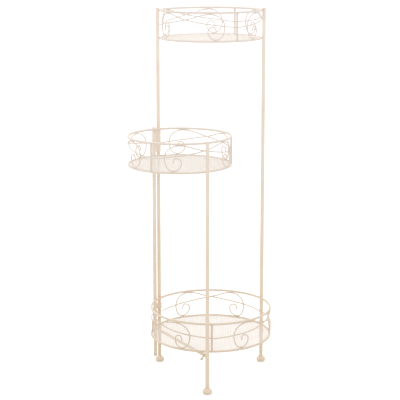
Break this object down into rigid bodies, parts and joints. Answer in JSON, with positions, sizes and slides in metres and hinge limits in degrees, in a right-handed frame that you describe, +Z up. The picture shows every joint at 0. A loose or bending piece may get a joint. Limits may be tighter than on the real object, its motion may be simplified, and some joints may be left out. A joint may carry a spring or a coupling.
{
  "type": "plant stand",
  "caption": "Tiered metal plant stand: round scroll-work baskets at stepped heights on tube legs, with one frame hinged on a tall leg so it swings outwards.",
  "frame": {"origin": "on the floor under the middle of the outline", "axes": "+Z up, -Y towards the viewer of the picture, +X to the right"},
  "size_m": [0.39, 0.4186, 1.0057],
  "materials": {
    "cream_coating": "satin cream powder coat",
    "mesh_floor": "satin cream powder coat on fine metal mesh",
    "cream_plastic": "moulded, slightly worn",
    "grey_plastic": "moulded, matt"
  },
  "bodies": {
    "tall_frame": {"tall_left_leg": "cream_coating", "tall_right_leg": "cream_coating", "tall_leg_ends": "cream_plastic", "top_upper_ring": "cream_coating", "top_lower_ring": "cream_coating", "top_floor": "mesh_floor", "top_posts": "cream_coating", "top_scrolls": "cream_coating", "bottom_upper_ring": "cream_coating", "bottom_lower_ring": "cream_coating", "bottom_floor": "mesh_floor", "bottom_posts": "cream_coating", "bottom_scrolls": "cream_coating"},
    "swing_frame": {"swing_back_leg": "cream_coating", "swing_front_leg": "cream_coating", "swing_leg_ends": "cream_plastic", "swing_tips": "grey_plastic", "crossbar": "cream_coating", "rest_hook": "cream_coating", "hinge_eyes": "cream_coating", "middle_upper_ring": "cream_coating", "middle_lower_ring": "cream_coating", "middle_floor": "mesh_floor", "middle_posts": "cream_coating", "middle_scrolls": "cream_coating"}
  },
  "joints": [
    {"name": "frame_swing", "type": "hinge", "parent": "tall_frame", "child": "swing_frame", "pos_m": [-0.11663, 0.06932, 0], "axis": [0, 0, 1], "range_deg": [-150, 0]}
  ]
}
